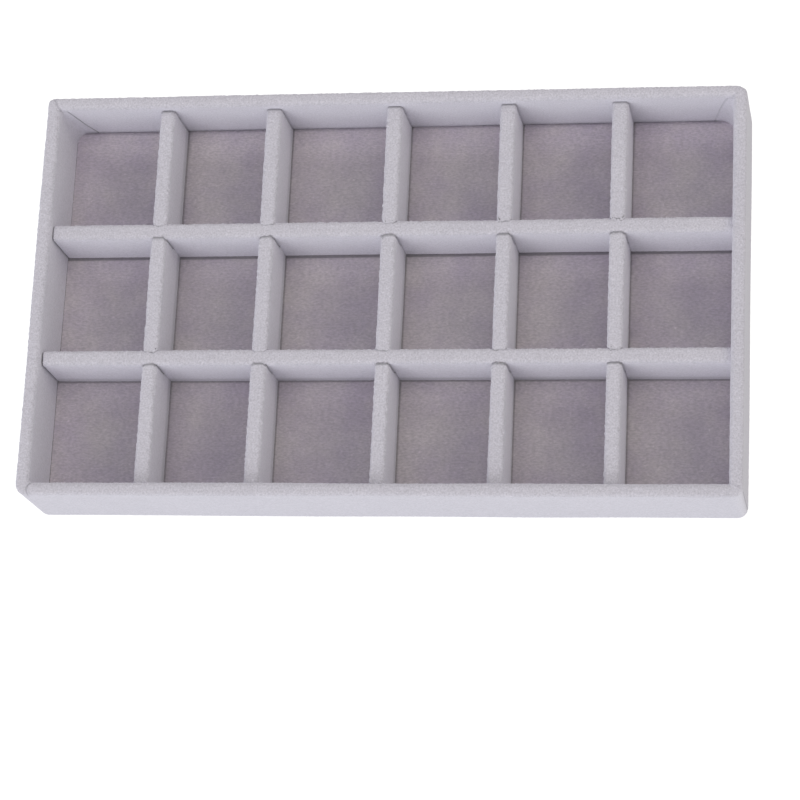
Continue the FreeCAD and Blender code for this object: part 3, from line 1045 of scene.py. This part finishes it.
# Where the picture is taken from, and how the picture is framed
CAMERA_PLACE = Vector((176.8, -298.8, 941.2)) * MM
CAMERA_AIM = Vector((-1.8, -0.2, 15.0)) * MM
CAMERA_ROLL = math.radians(-29.74)
PICTURE_SIDE = 800
FOCAL_PIXELS = 2947
AIM_PIXEL = (383, 303)
SENSOR = 36.0

# Softboxes: name, degrees round from the front to the right, degrees up, power in watts, colour
SOFTBOXES = (
    ("front_low", -10, 20, 19.5, (0.95, 0.99, 1.0)),
    ("front_high", -10, 40, 5.5, (1.0, 0.9, 1.0)),
    ("right", 98, 44, 7.5, (1.0, 0.92, 0.7)),
    ("back", 190, 45, 4.8, (0.9, 0.87, 1.0)),
)
SOFTBOX_DISTANCE = 2.4
SOFTBOX_WIDTH = 1.2
SKY_STRENGTH = 0.6
WHITE = (1, 1, 1, 1)

# The stage is one triangle, so that none of its edges passes under the tray: its sides, its reach, and
# how far it lies below the tray
STAGE_SIDES = 3
STAGE_REACH = 10.0
STAGE_DROP = 0.2 * MM

# Glow of the stage's paper: the part that lights the tray, and all that the picture shows
STAGE_GLOW = 0.28
STAGE_WHITE = 0.92


def add_camera(scene):
    """Camera at the picture's viewpoint, framed as the picture is."""
    lens = bpy.data.cameras.new("picture_camera")
    lens.sensor_width = SENSOR
    lens.lens = FOCAL_PIXELS / PICTURE_SIDE * SENSOR
    lens.shift_x = (PICTURE_SIDE / 2 - AIM_PIXEL[0]) / PICTURE_SIDE
    lens.shift_y = (AIM_PIXEL[1] - PICTURE_SIDE / 2) / PICTURE_SIDE
    camera = bpy.data.objects.new("picture_camera", lens)
    aim = (CAMERA_AIM - CAMERA_PLACE).to_track_quat("-Z", "Y").to_matrix().to_4x4()
    camera.matrix_world = Matrix.Translation(CAMERA_PLACE) @ aim @ Matrix.Rotation(CAMERA_ROLL, 4, "Z")
    scene.collection.objects.link(camera)
    scene.camera = camera


def add_softbox(scene, name, round_degrees, up_degrees, power, colour):
    """Square softbox turned towards the tray."""
    lamp = bpy.data.lights.new(name, "AREA")
    lamp.size = SOFTBOX_WIDTH
    lamp.energy = power
    lamp.color = colour
    level = math.cos(math.radians(up_degrees))
    across = math.sin(math.radians(round_degrees)) * level
    forward = math.cos(math.radians(round_degrees)) * level
    way = Vector((across, -forward, math.sin(math.radians(up_degrees))))
    light = bpy.data.objects.new(name, lamp)
    light.location = way * SOFTBOX_DISTANCE
    light.rotation_mode = "QUATERNION"
    light.rotation_quaternion = (-way).to_track_quat("-Z", "Y")
    scene.collection.objects.link(light)


def paper_material(colour):
    """Glowing white paper, see-through from below, where the tray's underside shows."""
    material, shader = fibre_material(
        "stage_paper", colour, colour, patch_size=80 * MM, fleck_size=3 * MM, fleck_depth=0.002,
        relief=0.01 * MM)
    shader.inputs["Emission Color"].default_value = WHITE
    tree = material.node_tree
    seen = tree.nodes.new("ShaderNodeLightPath").outputs["Is Camera Ray"]
    glow = reckon(tree, "MULTIPLY_ADD", seen, STAGE_WHITE - STAGE_GLOW, STAGE_GLOW)
    tree.links.new(glow, shader.inputs["Emission Strength"])
    one_sided = tree.nodes.new("ShaderNodeMixShader")
    from_below = tree.nodes.new("ShaderNodeNewGeometry").outputs["Backfacing"]
    see_through = tree.nodes.new("ShaderNodeBsdfTransparent").outputs["BSDF"]
    tree.links.new(from_below, one_sided.inputs["Fac"])
    tree.links.new(shader.outputs["BSDF"], one_sided.inputs[1])
    tree.links.new(see_through, one_sided.inputs[2])
    tree.links.new(one_sided.outputs["Shader"], tree.get_output_node("ALL").inputs["Surface"])
    return material


def add_stage_floor(scene, material):
    """Wide floor just below the tray."""
    bm = bmesh.new()
    bmesh.ops.create_circle(bm, cap_ends=True, segments=STAGE_SIDES, radius=STAGE_REACH)
    bmesh.ops.translate(bm, vec=-UP * STAGE_DROP, verts=bm.verts)
    mesh = bpy.data.meshes.new("stage_floor")
    bm.to_mesh(mesh)
    bm.free()
    mesh.materials.append(material)
    floor = bpy.data.objects.new("stage_floor", mesh)
    scene.collection.objects.link(floor)


def add_sky(scene):
    """Even white light from all round."""
    world = bpy.data.worlds.new("studio")
    world.use_nodes = True
    background = world.node_tree.nodes["Background"]
    background.inputs["Color"].default_value = WHITE
    background.inputs["Strength"].default_value = SKY_STRENGTH
    scene.world = world


class JEWELRYTRAY_OT_stage(bpy.types.Operator):
    """Set out the pale floor, the softboxes and the camera"""

    bl_idname = "jewelry_tray.stage"
    bl_label = "Stage"

    def execute(self, context):
        scene = context.scene
        add_stage_floor(scene, paper_material(scene.tray_colours.stage))
        add_sky(scene)
        for softbox in SOFTBOXES:
            add_softbox(scene, *softbox)
        add_camera(scene)
        scene.view_settings.view_transform = "Standard"
        return {"FINISHED"}


class JEWELRYTRAY_PT_finish(bpy.types.Panel):
    """Sizes, colours and steps of the tray's finish"""

    bl_idname = "JEWELRYTRAY_PT_finish"
    bl_label = "Jewelry tray"
    bl_space_type = "VIEW_3D"
    bl_region_type = "UI"
    bl_category = "Jewelry tray"

    def draw(self, context):
        for group in (context.scene.tray_sizes, context.scene.tray_colours):
            for name in group.__annotations__:
                self.layout.prop(group, name)
        for step in STEPS:
            self.layout.operator(step.bl_idname)


STEPS = (
    JEWELRYTRAY_OT_wall_velvet,
    JEWELRYTRAY_OT_divider_velvet,
    JEWELRYTRAY_OT_floor_velvet,
    JEWELRYTRAY_OT_bottom_cover,
    JEWELRYTRAY_OT_boards,
    JEWELRYTRAY_OT_stage,
)
CLASSES = (TraySizes, TrayColours, *STEPS, JEWELRYTRAY_PT_finish)


def register():
    """Add the tray's properties, steps and panel."""
    for kind in CLASSES:
        bpy.utils.register_class(kind)
    bpy.types.Scene.tray_sizes = PointerProperty(type=TraySizes)
    bpy.types.Scene.tray_colours = PointerProperty(type=TrayColours)


def unregister():
    """Take them away again."""
    del bpy.types.Scene.tray_colours
    del bpy.types.Scene.tray_sizes
    for kind in reversed(CLASSES):
        bpy.utils.unregister_class(kind)


def main():
    """Dress the tray and set the stage."""
    register()
    bpy.ops.jewelry_tray.wall_velvet()
    bpy.ops.jewelry_tray.divider_velvet()
    bpy.ops.jewelry_tray.floor_velvet()
    bpy.ops.jewelry_tray.bottom_cover()
    bpy.ops.jewelry_tray.boards()
    bpy.ops.jewelry_tray.stage()


if __name__ == "__main__":
    main()
